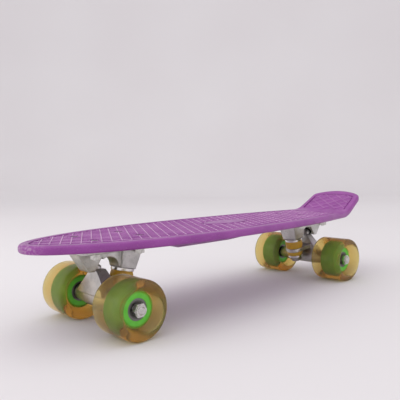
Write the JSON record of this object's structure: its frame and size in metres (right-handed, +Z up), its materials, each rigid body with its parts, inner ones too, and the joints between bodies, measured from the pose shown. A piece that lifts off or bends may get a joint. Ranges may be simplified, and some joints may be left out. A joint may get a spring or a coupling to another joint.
{
  "type": "skateboard",
  "caption": "Small moulded plastic cruiser skateboard with a kicked tail, waffle-grip deck, sprung steering trucks and soft translucent wheels on ball bearings.",
  "frame": {"origin": "on the ground under the middle of the board, midway between the two axles and between the left and right wheels", "axes": "+X along the board towards the nose, +Y to the board's left side, +Z up from the ground through the deck"},
  "size_m": [0.5415, 0.153, 0.1252],
  "materials": {
    "deck_plastic": "moulded polypropylene, glossy rim and finely ribbed top",
    "wheel_urethane": "cast translucent amber urethane, smooth",
    "core_plastic": "moulded opaque green hub",
    "cast_aluminium": "cast and tumbled, satin",
    "bright_steel": "zinc plated bright steel",
    "bearing_steel": "ground bearing steel",
    "bushing_urethane": "translucent amber urethane",
    "black_rubber": "black moulded rubber",
    "cage_plastic": "moulded nylon, natural"
  },
  "bodies": {
    "board": {"deck": "deck_plastic", "front_deck_bolts": "bright_steel", "front_deck_nuts": "bright_steel", "front_baseplate": "cast_aluminium", "front_pivot_cup": "black_rubber", "front_kingpin": "bright_steel", "front_kingpin_nut": "bright_steel", "front_upper_cup_washer": "bright_steel", "front_lower_cup_washer": "bright_steel", "front_upper_bushing": "bushing_urethane", "front_lower_bushing": "bushing_urethane", "rear_deck_bolts": "bright_steel", "rear_deck_nuts": "bright_steel", "rear_baseplate": "cast_aluminium", "rear_pivot_cup": "black_rubber", "rear_kingpin": "bright_steel", "rear_kingpin_nut": "bright_steel", "rear_upper_cup_washer": "bright_steel", "rear_lower_cup_washer": "bright_steel", "rear_upper_bushing": "bushing_urethane", "rear_lower_bushing": "bushing_urethane"},
    "front_truck": {"front_hanger": "cast_aluminium", "front_axle": "bright_steel", "front_axle_nuts": "bright_steel", "front_speed_washers": "bright_steel", "front_bearing_spacers": "bright_steel", "front_bearing_inner_rings": "bearing_steel"},
    "rear_truck": {"rear_hanger": "cast_aluminium", "rear_axle": "bright_steel", "rear_axle_nuts": "bright_steel", "rear_speed_washers": "bright_steel", "rear_bearing_spacers": "bright_steel", "rear_bearing_inner_rings": "bearing_steel"},
    "front_left_wheel": {"front_left_tyre": "wheel_urethane", "front_left_core": "core_plastic", "front_left_bearing_outer_rings": "bearing_steel", "front_left_bearing_shields": "black_rubber"},
    "front_left_ball_set": {"front_left_bearing_balls": "bearing_steel", "front_left_bearing_cages": "cage_plastic"},
    "front_right_wheel": {"front_right_tyre": "wheel_urethane", "front_right_core": "core_plastic", "front_right_bearing_outer_rings": "bearing_steel", "front_right_bearing_shields": "black_rubber"},
    "front_right_ball_set": {"front_right_bearing_balls": "bearing_steel", "front_right_bearing_cages": "cage_plastic"},
    "rear_left_wheel": {"rear_left_tyre": "wheel_urethane", "rear_left_core": "core_plastic", "rear_left_bearing_outer_rings": "bearing_steel", "rear_left_bearing_shields": "black_rubber"},
    "rear_left_ball_set": {"rear_left_bearing_balls": "bearing_steel", "rear_left_bearing_cages": "cage_plastic"},
    "rear_right_wheel": {"rear_right_tyre": "wheel_urethane", "rear_right_core": "core_plastic", "rear_right_bearing_outer_rings": "bearing_steel", "rear_right_bearing_shields": "black_rubber"},
    "rear_right_ball_set": {"rear_right_bearing_balls": "bearing_steel", "rear_right_bearing_cages": "cage_plastic"}
  },
  "joints": [
    {"name": "front_steering", "type": "hinge", "parent": "board", "child": "front_truck", "pos_m": [0.1915, 0, 0.068], "axis": [0.8147, 0, 0.5798], "range_deg": [-15, 15], "stiffness_Nm_per_rad": 30, "deforming": ["front_upper_bushing", "front_lower_bushing"]},
    {"name": "front_left_wheel_spin", "type": "hinge", "parent": "front_truck", "child": "front_left_wheel", "pos_m": [0.18, 0.054, 0.03], "axis": [0, 1, 0], "continuous": true},
    {"name": "front_left_ball_set_spin", "type": "hinge", "parent": "front_truck", "child": "front_left_ball_set", "pos_m": [0.18, 0.054, 0.03], "axis": [0, 1, 0], "continuous": true},
    {"name": "front_right_wheel_spin", "type": "hinge", "parent": "front_truck", "child": "front_right_wheel", "pos_m": [0.18, -0.054, 0.03], "axis": [0, 1, 0], "continuous": true},
    {"name": "front_right_ball_set_spin", "type": "hinge", "parent": "front_truck", "child": "front_right_ball_set", "pos_m": [0.18, -0.054, 0.03], "axis": [0, 1, 0], "continuous": true},
    {"name": "rear_steering", "type": "hinge", "parent": "board", "child": "rear_truck", "pos_m": [-0.1915, 0, 0.068], "axis": [-0.8147, 0, 0.5798], "range_deg": [-15, 15], "stiffness_Nm_per_rad": 30, "deforming": ["rear_upper_bushing", "rear_lower_bushing"]},
    {"name": "rear_left_wheel_spin", "type": "hinge", "parent": "rear_truck", "child": "rear_left_wheel", "pos_m": [-0.18, 0.054, 0.03], "axis": [0, 1, 0], "continuous": true},
    {"name": "rear_left_ball_set_spin", "type": "hinge", "parent": "rear_truck", "child": "rear_left_ball_set", "pos_m": [-0.18, 0.054, 0.03], "axis": [0, 1, 0], "continuous": true},
    {"name": "rear_right_wheel_spin", "type": "hinge", "parent": "rear_truck", "child": "rear_right_wheel", "pos_m": [-0.18, -0.054, 0.03], "axis": [0, 1, 0], "continuous": true},
    {"name": "rear_right_ball_set_spin", "type": "hinge", "parent": "rear_truck", "child": "rear_right_ball_set", "pos_m": [-0.18, -0.054, 0.03], "axis": [0, 1, 0], "continuous": true}
  ],
  "couplings": [
    {"joint": "front_left_ball_set_spin", "follows": "front_left_wheel_spin", "ratio": 0.632},
    {"joint": "front_right_ball_set_spin", "follows": "front_right_wheel_spin", "ratio": 0.632},
    {"joint": "rear_left_ball_set_spin", "follows": "rear_left_wheel_spin", "ratio": 0.632},
    {"joint": "rear_right_ball_set_spin", "follows": "rear_right_wheel_spin", "ratio": 0.632}
  ]
}
